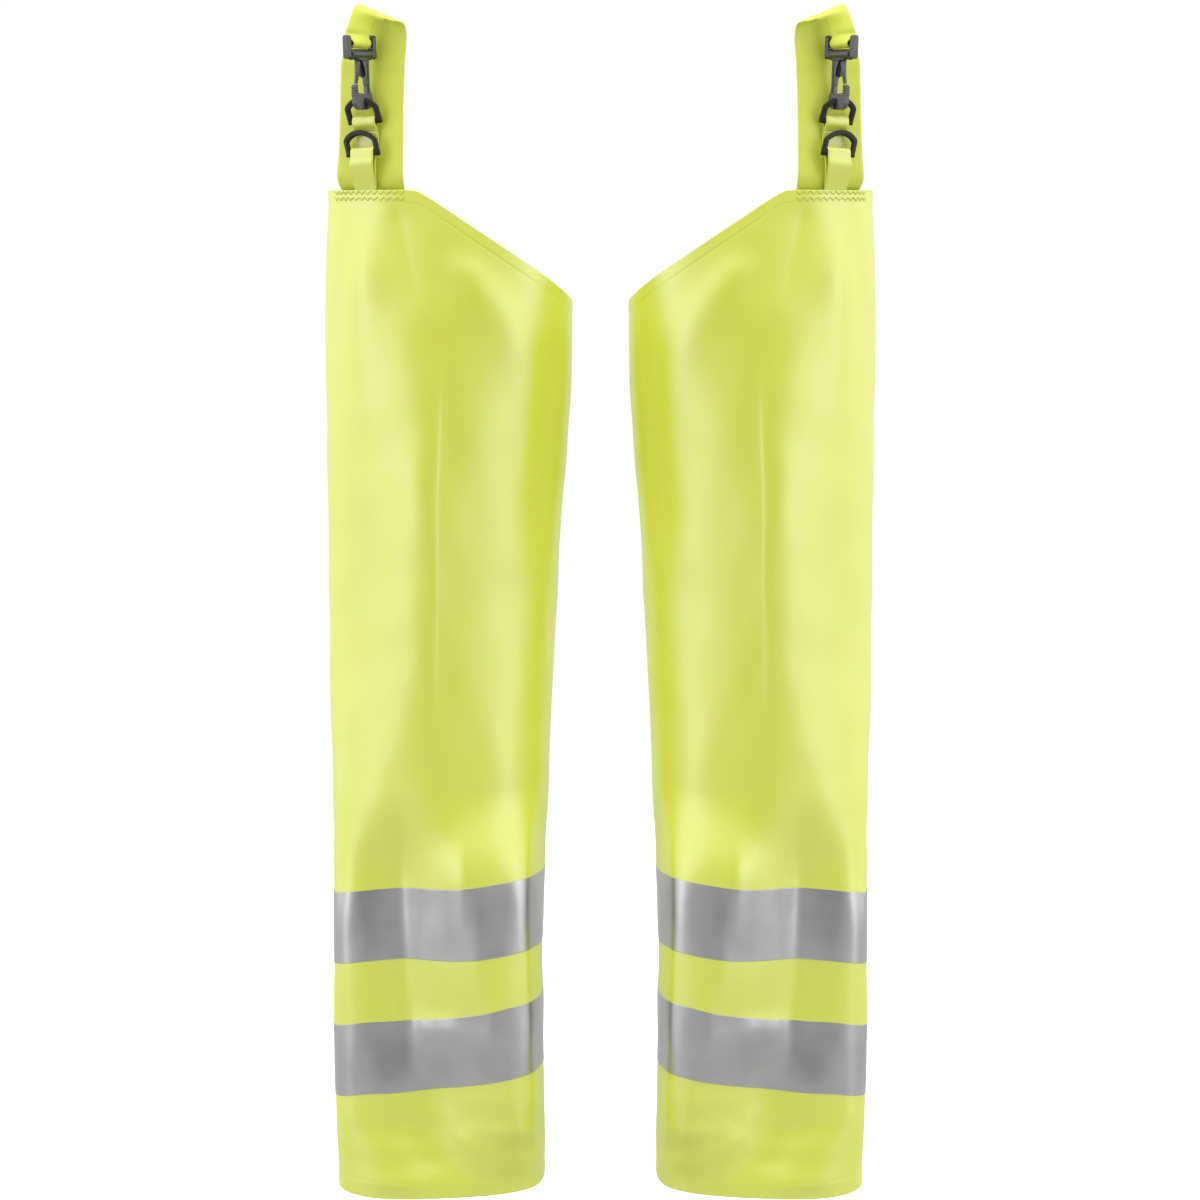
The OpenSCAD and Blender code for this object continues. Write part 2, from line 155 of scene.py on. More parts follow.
def hem_edge(place):
    across = across_at(place, -side_length)
    climb = HEM_CLIMB * across**1.5 + HEM_SIDE_RISE * (1 - 2 * np.minimum(across, 0.5)) ** 4
    return -side_length + climb - HEM_SAG * np.sin(math.pi * across)


def tape_edge(place, low):
    """Height of a tape's lower edge: it climbs towards the inner side."""
    climb = UPPER_CLIMB if low > LOWER_TAPE + TAPE_H else LOWER_CLIMB
    return low + smooth_lookup(across_at(place, low), climb)


LOWER_TAPE = -side_length + TAPE_LOW
UPPER_TAPE = LOWER_TAPE + TAPE_H + TAPE_GAP

# ---- folds of the cloth ----
# A fold is a line down or across the leg. Each of its points gives the share of the width from
# the outer side, the drop below the top edge, how far the fold stands out (below 0: in), and
# how far it reaches to each side, all in millimetres but the first. sharp is the radius of its
# crest, None for a soft one.
FOLDS = [
    # the dark hollow beside the inner side, near the top
    dict(path=[(.93, 110, 0, 12), (.93, 170, -4, 15), (.93, 270, -4, 15), (.95, 370, 0, 12)]),
    # the crest of the front, which drifts inwards on its way down
    dict(path=[(.43, 60, 0, 24), (.42, 200, 3.5, 28), (.43, 420, 4.5, 30), (.49, 600, 4, 32),
               (.56, 700, 2, 30), (.60, 760, 0, 28)]),
    # the outer quarter stands forward of the side
    dict(path=[(.10, 30, 0, 14), (.09, 90, -2.5, 14), (.08, 160, -1.5, 14), (.08, 240, 0, 14)]),
    dict(path=[(.17, 20, 0, 18), (.17, 90, 3, 20), (.16, 200, 1.5, 22), (.15, 300, 0, 24)]),
    # the crease from the strap's inner corner
    dict(path=[(.30, 8, 0, 6), (.32, 30, -2, 9), (.36, 70, -2.2, 13), (.42, 130, 0, 20)],
         sharp=2.0),
    # the ridge along the oblique top edge
    dict(path=[(.46, 62, 0, 12), (.60, 85, 3, 16), (.74, 125, 3.2, 18), (.84, 175, 2, 18),
               (.86, 230, 0, 16)]),
    dict(path=[(.47, 790, 0, 8), (.50, 812, 1.8, 10), (.53, 835, 1.6, 10), (.55, 855, 0, 8)]),
    # the hem: a pocket on the outer half and a swag on the inner half
    dict(path=[(.08, 890, 0, 16), (.25, 905, -3, 20), (.42, 925, -4.5, 20), (.58, 950, -2.5, 16),
               (.70, 962, 0, 12)]),
    dict(path=[(.47, 880, 0, 10), (.56, 912, 3, 14), (.70, 930, 4, 16), (.86, 930, 2.5, 14),
               (.93, 940, 0, 12)], sharp=3.0),
    dict(path=[(.16, 955, 0, 8), (.28, 962, 1.8, 9), (.40, 964, 1.2, 9), (.50, 960, 0, 8)]),
    # behind: long soft folds from the seat to the hem, and a few creases behind the knee
    dict(behind=True, path=[(.30, 40, 0, 26), (.33, 200, -7, 28), (.38, 450, -8, 28),
                            (.42, 700, -6, 26), (.45, 900, -3, 24), (.45, 970, 0, 22)]),
    dict(behind=True, path=[(.66, 60, 0, 24), (.66, 250, 6, 26), (.62, 480, 7, 28),
                            (.60, 720, 5, 26), (.62, 940, 0, 24)]),
    dict(behind=True, path=[(.18, 420, 0, 12), (.30, 450, 3, 14), (.52, 462, 3.5, 14),
                            (.74, 452, 2.5, 12), (.86, 430, 0, 10)], sharp=5.0),
    dict(behind=True, path=[(.22, 520, 0, 12), (.40, 505, 2.6, 13), (.62, 512, 3, 13),
                            (.80, 540, 0, 10)], sharp=5.0),
    dict(behind=True, path=[(.30, 590, 0, 10), (.48, 572, 2, 12), (.66, 585, 0, 10)], sharp=5.0),
]
FACE_ROUND = 1.7         # the creases between faces are rounded over about this many millimetres
# Slow waves that no fold line describes: waves round the leg, waves down it, phase, height.
RIPPLES = [(3, 1.3, 0.4, 0.7), (5, -2.1, 1.9, 0.5), (7, 3.2, 4.1, 0.35), (11, -5.3, 2.7, 0.22),
           (2, 9.5, 5.2, 0.22), (13, 8.3, 0.9, 0.14), (4, -14.7, 3.3, 0.14)]


def fold_height(fold, place, z):
    """How far one fold lifts the cloth, by distance from its line on the unrolled leg."""
    points = np.array(fold["path"], float)
    along = place_at(points[:, 0], -points[:, 1], fold.get("behind", False)) * GIRTH
    down = points[:, 1]
    best = np.full(place.shape, np.inf)
    height = np.zeros(place.shape)
    reach = np.ones(place.shape)
    for k in range(len(points) - 1):
        step = np.array([along[k + 1] - along[k], down[k + 1] - down[k]])
        du = np.mod(place * GIRTH - along[k] + GIRTH / 2, GIRTH) - GIRTH / 2
        dv = -z - down[k]
        t = np.clip((du * step[0] + dv * step[1]) / (step @ step), 0, 1)
        d = np.hypot(du - t * step[0], dv - t * step[1])
        nearer = d < best
        best = np.where(nearer, d, best)
        ease = t * t * (3 - 2 * t)
        height = np.where(nearer, points[k, 2] + ease * (points[k + 1, 2] - points[k, 2]), height)
        reach = np.where(nearer, points[k, 3] + ease * (points[k + 1, 3] - points[k, 3]), reach)
    if fold.get("sharp"):
        crest = fold["sharp"]
        return height * np.exp(-(np.hypot(best, crest) - crest) / reach)
    return height * np.exp(-(best / reach) ** 2)


# The front's lower half isn't round: its flat faces meet in creases. By drop below the top edge,
# how far forward the cloth stands at shares of the width. A crease keeps its place in every row.
FACES = {
    580: [(0, 0), (.10, 0), (.30, 0), (.34, 0), (.62, 0), (.65, 0), (.88, 0), (1, 0)],
    670: [(0, 0), (.07, -4), (.32, -17), (.35, -17), (.63, 18), (.65, 19), (.93, 21), (1, 0)],
    745: [(0, 0), (.07, -4), (.33, -17), (.36, -17), (.70, 20), (.72, 21), (.94, 23), (1, 0)],
    810: [(0, 0), (.08, -4), (.32, -16), (.38, -17), (.77, 22), (.79, 23), (.95, 24), (1, 0)],
    875: [(0, 0), (.08, -3), (.44, -17), (.49, -17), (.84, 22), (.86, 23), (.96, 23), (1, 0)],
    905: [(0, 0), (.10, -2), (.46, -15), (.51, -15), (.87, 21), (.88, 22), (.96, 20), (1, 0)],
    935: [(0, 0), (.10, -1), (.46, -8), (.56, -7), (.84, 8), (.87, 9), (.96, 8), (1, 0)],
    965: [(0, 0), (.10, 0), (.46, -2), (.56, -1), (.84, 2), (.87, 2), (.96, 2), (1, 0)],
}


def face_lift(place, z):
    """How far forward the front's flat faces stand, smooth between the rows of FACES."""
    across = across_at(place, z)
    lifts = []
    for row in FACES.values():
        at, value = np.array(row).T
        lifts.append(np.interp(across, at, value))
    drops = list(FACES)
    lift = np.zeros(place.shape)
    for k in range(len(drops) - 1):
        t = np.clip((-z - drops[k]) / (drops[k + 1] - drops[k]), 0, 1)
        ease = t * t * (3 - 2 * t)
        lift = lift + ease * (lifts[k + 1] - lifts[k])
    return lift * (np.mod(place, 1) < 0.5)


def cloth_lift(place, z):
    """How far folds and ripples lift the cloth off the plain form."""
    lift = sum(fold_height(fold, place, z) for fold in FOLDS)
    for waves, turns, phase, height in RIPPLES:
        lift = lift + height * np.sin(2 * math.pi * (waves * place + turns * z / 1000) + phase)
    return lift


def cloth_point(place, z):
    """A point of the cloth's outer face."""
    nudge = 1e-3
    tangent = plain_point(place + nudge, z) - plain_point(place - nudge, z)
    tangent /= np.linalg.norm(tangent, axis=-1, keepdims=True)
    outward = np.stack([tangent[..., 1], -tangent[..., 0], np.zeros(place.shape)], -1)
    spread = np.array([-2, -1, 0, 1, 2]) * FACE_ROUND / GIRTH
    forward = sum(face_lift(place + step, z) for step in spread) / len(spread)
    point = plain_point(place, z) + outward * cloth_lift(place, z)[..., None]
    return point - forward[..., None] * np.array([0, 1, 0])


# ---- sheets ----

def unit(v):
    return v / np.maximum(np.linalg.norm(v, axis=-1, keepdims=True), 1e-9)


def grid_normals(grid, wraps):
    if wraps:
        side = np.roll(grid, -1, 1) - np.roll(grid, 1, 1)
    else:
        side = np.gradient(grid, axis=1)
    return unit(np.cross(side, np.gradient(grid, axis=0)))


def sheet_loop(grid, uv, thickness, wraps):
    """A sheet's front layer, round top edge, back layer and round lower edge, as one grid.
    The given grid is the front layer. Returns the points and their place on the flat cloth."""
    normal = grid_normals(grid, wraps)
    half = thickness / 2
    middle = grid - normal * half
    up = unit(grid[-1] - grid[-2])
    down = unit(grid[0] - grid[1])
    corner = half * 0.7
    rows = [middle[0] + down * half, middle[0] + (normal[0] + down) * corner]
    rows += list(grid)
    rows += [middle[-1] + (normal[-1] + up) * corner, middle[-1] + up * half,
             middle[-1] + (up - normal[-1]) * corner]
    rows += list((middle - normal * half)[::-1])
    rows += [middle[0] + (down - normal[0]) * corner]
    flat = [uv[0], uv[0]] + list(uv) + [uv[-1]] * 3 + list(uv[::-1]) + [uv[0]]
    points, flat = np.stack(rows), np.stack(flat)
    if not wraps:  # the side edges are pinched together and merged
        left, right = middle[:, 0], middle[:, -1]
        out_l = unit(grid[:, 0] - grid[:, 1]) * half
        out_r = unit(grid[:, -1] - grid[:, -2]) * half
        order = [0, 0] + list(range(len(grid))) + [-1] * 3 + list(range(len(grid)))[::-1] + [0]
        points = np.concatenate([(left + out_l)[order][:, None], points,
                                 (right + out_r)[order][:, None]], 1)
        flat = np.concatenate([flat[:, :1], flat, flat[:, -1:]], 1)
    return points, flat


def to_part(points, side):
    """From the right leg's frame in millimetres to the part's frame in metres."""
    moved = (points + np.array([0, belt_forward, -belt_height])) * MM
    if side == LEFT:
        moved = moved * np.array([-1, 1, 1])
    return moved


def finish_mesh(name, mesh, material, side):
    if side == LEFT:
        mesh.flip_normals()
    mesh.shade_smooth()
    piece = bpy.data.objects.new(name, mesh)
    bpy.context.scene.collection.objects.link(piece)
    mesh.materials.append(material)
    return piece


def make_sheet(name, side, grid, uv, thickness, material, wraps=False):
    """A cloth sheet from a grid of points on its front face."""
    points, flat = sheet_loop(grid, uv, thickness, wraps)
    rows, cols = points.shape[:2]
    spans = cols if wraps else cols - 1
    i, j = np.meshgrid(np.arange(rows), np.arange(spans), indexing="ij")
    i2 = (i + 1) % rows
    corners = [(i, j), (i, j + 1), (i2, j + 1), (i2, j)]
    faces = np.stack([a * cols + b % cols for a, b in corners], -1).reshape(-1, 4)
    mesh = bpy.data.meshes.new(name)
    mesh.from_pydata(to_part(points.reshape(-1, 3), side).tolist(), [], faces.tolist())
    layer = mesh.uv_layers.new(name="cloth")
    if wraps:
        flat = np.concatenate([flat, flat[:, :1] + np.array([GIRTH, 0])], 1)
    places = np.stack([flat[a, b] for a, b in corners], 2).reshape(-1, 2) * MM
    layer.data.foreach_set("uv", places.astype(np.float32).ravel())
    if not wraps:
        merge_close(mesh)
    return finish_mesh(name, mesh, material, side)


def merge_close(mesh, distance=1e-6):
    work = bmesh.new()
    work.from_mesh(mesh)
    bmesh.ops.remove_doubles(work, verts=work.verts, dist=distance)
    work.to_mesh(mesh)
    work.free()


# ---- materials ----
COATED_IOR, PLAIN_IOR = 1.85, 1.5    # the glossiest coat, and everything else

def new_material(name):
    material = bpy.data.materials.new(name)
    material.use_nodes = True
    tree = material.node_tree
    shader = next(n for n in tree.nodes if n.type == "BSDF_PRINCIPLED")
    return material, tree, shader


def add_node(tree, kind, inputs=(), **settings):
    node = tree.nodes.new(kind)
    for key, value in settings.items():
        setattr(node, key, value)
    for key, value in dict(inputs).items():
        socket = node.inputs[key]
        if isinstance(value, bpy.types.NodeSocket):
            tree.links.new(value, socket)
        else:
            socket.default_value = value
    return node


def noise(tree, vector, scale, detail=2.0):
    inputs = {"Vector": vector, "Scale": scale, "Detail": detail}
    return add_node(tree, "ShaderNodeTexNoise", inputs).outputs["Fac"]


WAVE_REPEAT = 2 * math.pi / 20   # a wave texture repeats at this distance at a scale of 1


def weave_height(tree, uv, pitch):
    """A plain weave: two sets of ridges, in metres of cloth."""
    scale = WAVE_REPEAT / pitch
    inputs = {"Vector": uv, "Scale": scale, "Distortion": 0.4, "Detail": 1.0}
    waves = [add_node(tree, "ShaderNodeTexWave", inputs, bands_direction=direction).outputs["Fac"]
             for direction in ("X", "Y")]
    higher = add_node(tree, "ShaderNodeMath", {0: waves[0], 1: waves[1]}, operation="MAXIMUM")
    return higher.outputs[0]


def bump(tree, height, distance, strength=1.0, normal=None):
    inputs = {"Height": height, "Distance": distance, "Strength": strength}
    if normal:
        inputs["Normal"] = normal
    return add_node(tree, "ShaderNodeBump", inputs).outputs["Normal"]


def cloud_colour(tree, shader, amount, start, end, dark, pale):
    """Base colour that goes from dark to pale as amount goes from start to end."""
    share = add_node(tree, "ShaderNodeMapRange",
                     {"Value": amount, "From Min": start, "From Max": end})
    colour = add_node(tree, "ShaderNodeMix", {"Factor": share.outputs[0]}, data_type="RGBA")
    colour.inputs["A"].default_value = (*dark, 1)
    colour.inputs["B"].default_value = (*pale, 1)
    tree.links.new(colour.outputs["Result"], shader.inputs["Base Color"])


def cloth_material(name, pale, deep, rough=0.5, gloss=0.5, sheen=0.25, weave=0.0007):
    """Coated cloth: a plain weave under a smooth coat, with slow and fine changes of colour."""
    material, tree, shader = new_material(name)
    coords = add_node(tree, "ShaderNodeTexCoord").outputs
    slow = noise(tree, coords["Object"], 9)
    fine = noise(tree, coords["Object"], 700, 3)
    both = add_node(tree, "ShaderNodeMath", {0: slow, 1: fine}, operation="ADD").outputs[0]
    cloud_colour(tree, shader, both, 0.7, 1.3, deep, pale)
    height = weave_height(tree, coords["UV"], weave)
    first = bump(tree, height, 0.00004, 0.5)
    second = bump(tree, noise(tree, coords["Object"], 120, 3), 0.0003, 0.35, first)
    tree.links.new(second, shader.inputs["Normal"])
    shader.inputs["Roughness"].default_value = rough
    shader.inputs["Specular IOR Level"].default_value = gloss
    shader.inputs["IOR"].default_value = COATED_IOR if gloss > 0.9 else PLAIN_IOR
    shader.inputs["Sheen Weight"].default_value = sheen
    shader.inputs["Sheen Roughness"].default_value = 0.5
    return material


TAPE_DARK, TAPE_PALE = (0.42, 0.42, 0.425), (0.48, 0.48, 0.483)


def tape_material(name):
    """Silver retro-reflective tape: a bead layer with fine cross grain over aluminium."""
    material, tree, shader = new_material(name)
    coords = add_node(tree, "ShaderNodeTexCoord").outputs
    beads = add_node(tree, "ShaderNodeTexVoronoi", {"Vector": coords["Object"], "Scale": 2200})
    cloud_colour(tree, shader, noise(tree, coords["Object"], 25, 3), 0.3, 0.7, TAPE_DARK, TAPE_PALE)
    first = bump(tree, weave_height(tree, coords["UV"], 0.0008), 0.00003, 0.4)
    second = bump(tree, beads.outputs["Distance"], 0.00005, 0.3, first)
    third = bump(tree, noise(tree, coords["Object"], 60, 2), 0.0004, 0.3, second)
    tree.links.new(third, shader.inputs["Normal"])
    shader.inputs["Metallic"].default_value = 0.8
    shader.inputs["Roughness"].default_value = 0.3
    return material


def plastic_material(name, dark, pale, rough, gloss):
    """Moulded plastic: satin, with a fine spark-eroded grain."""
    material, tree, shader = new_material(name)
    coords = add_node(tree, "ShaderNodeTexCoord").outputs
    cloud_colour(tree, shader, noise(tree, coords["Object"], 60, 3), 0.3, 0.7, dark, pale)
    grain = bump(tree, noise(tree, coords["Object"], 2600, 2), 0.00003, 0.5)
    tree.links.new(grain, shader.inputs["Normal"])
    shader.inputs["Roughness"].default_value = rough
    shader.inputs["Specular IOR Level"].default_value = gloss
    return material


fabric = cloth_material("hi_vis_fabric", (0.68, 0.74, 0.022), (0.66, 0.72, 0.016),
                        rough=0.4, gloss=1.0, sheen=0.04)
strap_cloth = cloth_material("strap_fabric", (0.68, 0.74, 0.065), (0.66, 0.72, 0.05),
                             rough=0.5, gloss=0.7, sheen=0.03)
lining = cloth_material("fabric_inside", (0.66, 0.72, 0.07), (0.62, 0.69, 0.05),
                        rough=0.7, gloss=0.3)
seal = cloth_material("seam_seal", (0.60, 0.66, 0.10), (0.56, 0.62, 0.08),
                      rough=0.4, weave=0.0012)
thread = cloth_material("thread", (0.57, 0.63, 0.04), (0.52, 0.58, 0.03),
                        rough=0.6, gloss=0.3, weave=0.0005)
silver = tape_material("reflective_tape")
ring_plastic = plastic_material("black_plastic", (0.011, 0.010, 0.009), (0.016, 0.015, 0.013),
                                0.36, 0.3)
hook_plastic = plastic_material("hook_plastic", (0.017, 0.018, 0.020), (0.024, 0.025, 0.028),
                                0.27, 1.0)

# ---- the leg ----

EDGE_ROWS = [0, .6, 1.4, 2.4, 3.6, 5, 6.5, 8, 9.2, 10.2, 10.9, 11.5, 12.1, 12.8, 13.8, 15.2, 17,
             19.5]
ROW_STEP, COLUMNS = 3.6, 216
SEAM_AT = 11.5           # the edges' stitch line, from the edge
HEM_SEAM_AT = 15.2
EDGE_RELIEF = 0.32
INNER_GAP, INNER_T = 0.25, 0.5   # the strips inside the cloth
TAPE_T, TAPE_LIFT = 0.4, 0.45    # the reflective tapes, and their front above the cloth's


def edge_groove(distance, seam):
    """The sewn edge: a doubled rim, then a stitched groove."""
    rim = 0.5 / (1 + np.exp(np.minimum((distance - seam) / 0.7, 50)))
    return EDGE_RELIEF * (rim - 0.55 * np.exp(-((distance - seam - 0.4) / 0.9) ** 2))


def leg_rows():
    """Rows of the leg's cloth as (share from hem to top, millimetres): close near both edges."""
    edge = np.array(EDGE_ROWS)
    middle = np.linspace(edge[-1] + ROW_STEP, side_length - edge[-1] - ROW_STEP,
                         int((side_length - 2 * edge[-1]) / ROW_STEP))
    return np.concatenate([edge, middle, side_length - edge[::-1]])


def skin_grid(start, end, columns, low, high, rows, lift, wraps=False):
    """Points on the cloth between two heights, lifted off it, and their flat places."""
    places = np.linspace(start, end, columns, endpoint=not wraps)
    bottom, top = low(places), high(places)
    share = np.asarray(rows, float)[:, None]
    z = bottom + (top - bottom) * share
    place = np.broadcast_to(places, z.shape)
    grid = cloth_point(place, z)
    grid = grid + grid_normals(grid, wraps) * lift
    return grid, np.stack([place * GIRTH, z], -1)


def leg_cloth(side):
    """The tube of cloth, open at both ends."""
    rows = leg_rows() / side_length
    grid, uv = skin_grid(0, 1, COLUMNS, hem_edge, top_edge, rows, 0, wraps=True)
    height, normal = grid[..., 2], grid_normals(grid, True)
    from_top, from_hem = height[-1] - height, height - height[0]
    relief = edge_groove(from_top, SEAM_AT) + edge_groove(from_hem, HEM_SEAM_AT)
    grid = grid + normal * relief[..., None]
    return make_sheet(side + "_leg_cloth", side, grid, uv, CLOTH_T, fabric, wraps=True)


def inner_strip(name, side, start, end, columns, low, high, rows, material):
    """A strip on the inside of the cloth, from one place round the leg to another."""
    wraps = end - start > 0.99
    share = np.linspace(0, 1, rows)
    grid, uv = skin_grid(start, end, columns, low, high, share, -CLOTH_T - INNER_GAP, wraps)
    return make_sheet(name, side, grid, uv, INNER_T, material, wraps)


def reflective_tape(name, side, low):
    """One silver band right round the leg, its rows close together near both edges."""
    rows = [0, .008, .02, .05] + list(np.linspace(.1, .9, 20)) + [.95, .98, .992, 1]
    grid, uv = skin_grid(0, 1, COLUMNS, lambda p: tape_edge(p, low),
                         lambda p: tape_edge(p, low) + TAPE_H, rows, TAPE_LIFT, wraps=True)
    return make_sheet(name, side, grid, uv, TAPE_T, silver, wraps=True)


FACING_H, HEM_BAND_H, SEAM_TAPE_W = 30, 25, 22


def build_leg(side):
    """The cloth tube with its tapes, facings and seam tapes; all of it rides on the leg."""
    cloth = leg_cloth(side)
    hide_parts(side + "_front_panel", side + "_back_panel")
    upper = reflective_tape(side + "_upper_tape", side, UPPER_TAPE)
    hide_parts(side + "_upper_reflective_tape")
    lower = reflective_tape(side + "_lower_tape", side, LOWER_TAPE)
    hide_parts(side + "_lower_reflective_tape")
    facing = inner_strip(side + "_facing", side, 0, 1, COLUMNS, lambda p: top_edge(p) - FACING_H,
                         lambda p: top_edge(p) - 1.5, 12, lining)
    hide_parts(side + "_top_facing")
    band = inner_strip(side + "_hem_turn_up", side, 0, 1, COLUMNS, lambda p: hem_edge(p) + 1.5,
                       lambda p: hem_edge(p) + HEM_BAND_H, 10, lining)
    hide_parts(side + "_hem_band")
    half = SEAM_TAPE_W / 2 / GIRTH
    tapes = []
    for label, middle in (("inseam_tape", 0.5), ("outseam_tape", 0.0)):
        tape = inner_strip(f"{side}_{label}_seal", side, middle - half, middle + half, 9,
                           lambda p: hem_edge(p) + HEM_BAND_H + 1,
                           lambda p: top_edge(p) - FACING_H - 1, 240, seal)
        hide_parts(f"{side}_{label}")
        tapes.append(tape)
    everything = [cloth, upper, lower, facing, band] + tapes
    for piece in everything:
        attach(piece, side + "_leg")
    return cloth, everything[1:]


# ---- the strap, the webbing and their stitches, in the tab's frame ----
TAB_CENTRE = np.array([-222, -75.5, 0])
TAB_YAW = math.radians(22)
TAB_HALF, STRAP_T = 33.5, 1.8
STRAP_EDGES = [
    ((-36.5, 0, 14), (33, 0, 14)),
    ((-35, 0, 40), (33, 0, 40)), ((-33.5, 0, 80), (33.5, 0, 80)), ((-32.5, 0, 122), (35, 0, 120)),
    ((-27, 0, 147), (36.5, 0, 138)), ((-16, -.5, 166), (37, -.5, 147)),
    ((-10, -3.5, 175), (37, -3, 154.5)), ((-8.5, -10, 178.5), (36, -8.5, 157.5)),
    ((-8, -17, 175), (28, -14, 158.5)), ((-8.5, -21, 169), (14, -15.5, 163)),
    ((-9.5, -25, 161), (9, -14, 158)), ((-10.5, -29, 152), (6.5, -14, 151)),
    ((-11.3, -30, 146), (4.5, -15.5, 145.5))]
TURN_HALF, TURN_R, TURN_UP = 10.2, 3.6, 5
FOOT_TURNS = (29, 74)    # degrees round the leg's plan that the strap's foot covers
FOOT_DEPTH, FOOT_INSET = 14, 8.6
WEB_X, WEB_W, WEB_T = -3.7, 24.5, 1.5
WEB_INSET, WEB_GAP = 0.9, 0.1    # behind the leg's cloth, and between two layers
LOOP_R, LOOP_SLACK, LOOP_NECK = 3.5, 1.6, 13
NECK_GAP = 0.15          # between the two layers where a webbing is pinched together


def tab_point(p):
    """From the tab's frame (across, back, up) to the leg frame."""
    p = np.asarray(p, float)
    x, y = p[..., 0], p[..., 1]
    turned = np.stack([x * math.cos(TAB_YAW) + y * math.sin(TAB_YAW),
                       -x * math.sin(TAB_YAW) + y * math.cos(TAB_YAW), p[..., 2]], -1)
    return TAB_CENTRE + turned


def leg_to_tab(p):
    rel = np.asarray(p, float) - TAB_CENTRE
    x, y = rel[..., 0], rel[..., 1]
    return np.stack([x * math.cos(TAB_YAW) - y * math.sin(TAB_YAW),
                     x * math.sin(TAB_YAW) + y * math.cos(TAB_YAW), rel[..., 2]], -1)


def joint_place(joint):
    """A joint's place in the tab's frame, in millimetres."""
    in_leg = np.array(JOINTS[joint]["pos_m"]) / MM - np.array([0, belt_forward, -belt_height])
    return leg_to_tab(in_leg)


def joint_axis(joint):
    """A joint's direction in the tab's frame."""
    return leg_to_tab(np.array(JOINTS[joint]["axis"]) + TAB_CENTRE)


ring_bar = joint_place("right_ring_swing")
barrel = joint_place("right_hook_swing")
hook_across = joint_axis("right_hook_swing")
hook_ahead = joint_axis("right_gate_press")
hook_up = unit(ring_bar - barrel)
upper_bar = joint_place("right_upper_d_swing")
lower_bar = joint_place("right_lower_d_swing")


def smooth_path(points, steps):
    """A smooth curve through points, with that many steps between two of them."""
    points = np.asarray(points, float)
    padded = np.concatenate([[2 * points[0] - points[1]], points, [2 * points[-1] - points[-2]]])
    out = []
    for k in range(len(points) - 1):
        a, b, c, d = padded[k:k + 4]
        for i in range(steps):
            t = i / steps
            out.append(0.5 * (2 * b + (c - a) * t + (2 * a - 5 * b + 4 * c - d) * t * t
                              + (3 * b - a - 3 * c + d) * t**3))
    out.append(points[-1])
    return np.array(out)


def lengths_along(rows):
    """How far each row of a grid is from the first, along its middle, as a column."""
    steps = np.linalg.norm(np.diff(rows.mean(1), axis=0), axis=1)
    return np.concatenate([[0], np.cumsum(steps)])[:, None]


def around_bar(ahead, up):
    """The strap's two edge points where it turns round the ring's bar."""
    middle = ring_bar + ahead * hook_ahead + up * hook_up
    return (middle - TURN_HALF * hook_across, middle + TURN_HALF * hook_across)


def cloth_normal(place, z):
    nudge = 1e-3
    side = cloth_point(place + nudge, z) - cloth_point(place - nudge, z)
    rise = cloth_point(place, z + 1) - cloth_point(place, z - 1)
    return unit(np.cross(side, rise))


def place_of_turn(degrees):
    return np.interp(np.radians(degrees), _turns, _arc)


def strap_piece(side):
    """The wide tab: sewn inside the leg's edge, over the belt, and round the ring's bar."""
    columns = 34
    turns = np.linspace(*FOOT_TURNS, columns)
    foot = []
    for z in (-FOOT_DEPTH, -8, -3):
        place = place_of_turn(turns)
        height = top_edge(place) + z
        foot.append(cloth_point(place, height) - cloth_normal(place, height) * FOOT_INSET)
    wrap = [around_bar(TURN_R * math.cos(a), TURN_R * math.sin(a))
            for a in np.radians([0, -45, -90, -135, -180])] + [around_bar(-TURN_R, TURN_UP)]
    edges = np.array(STRAP_EDGES + wrap, float)
    share = np.linspace(0, 1, columns)[:, None]
    band = [tab_point(left + (right - left) * share) for left, right in edges]
    rows = smooth_path(np.array(foot + band), 9)
    rolled = strap_relief(rows)
    uv = np.stack(np.broadcast_arrays(share.T * 2 * TAB_HALF, lengths_along(rows)), -1)
    piece = make_sheet(side + "_strap", side, rolled, uv, STRAP_T, strap_cloth)
    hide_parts(side + "_belt_strap")
    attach(piece, side + "_leg")
    return piece


def strap_relief(rows):
    """The tab isn't flat: doubled edges, and a few creases across it."""
    normal = grid_normals(rows, False)
    count, columns = rows.shape[:2]
    share = np.linspace(0, 1, columns)
    height = rows[..., 2]
    wide = 1 / (1 + np.exp((height - 150) / 6)) / (1 + np.exp(-(height - 4) / 3))
    edge = np.exp(-(share / 0.07) ** 2) + np.exp(-((1 - share) / 0.07) ** 2)
    crease = 0.9 * np.exp(-((height - 127 + 8 * share) / 5) ** 2)
    crease -= 0.6 * np.exp(-((height - 112 - 5 * share) / 6) ** 2)
    lean = 0.8 * np.sin(height / 17 + 3 * share) * np.sin(math.pi * share)
    lift = wide * (0.25 * edge + crease + lean * 0.6)
    return rows + normal * lift[..., None]


def loop_path(bar, pinched):
    """Side view of a webbing folded over a bar, from its front layer's end to its back layer's.
    Points are (back, up) in the tab's frame. A pinched one closes up behind the next D-ring."""
    r = LOOP_R + WEB_T / 2
    back = bar[1] + r
    front = back - WEB_T - NECK_GAP
    arch = [(bar[1] - r * math.cos(a), bar[2] + LOOP_SLACK + r * math.sin(a))
            for a in np.linspace(0, math.pi, 13)]
    if pinched:
        down_front = [(front, bar[2] - LOOP_NECK), (front - 0.8, bar[2] - LOOP_NECK + 3.5),
                      (bar[1] - r + 0.4, bar[2] - 3.5)]
    else:
        down_front = [(bar[1] - r + 0.3, bar[2] - LOOP_NECK), (bar[1] - r + 0.1, bar[2] - 5)]
    down_back = [(back, bar[2] - 3), (back, bar[2] - LOOP_NECK)]
    return np.array(down_front + arch + down_back)


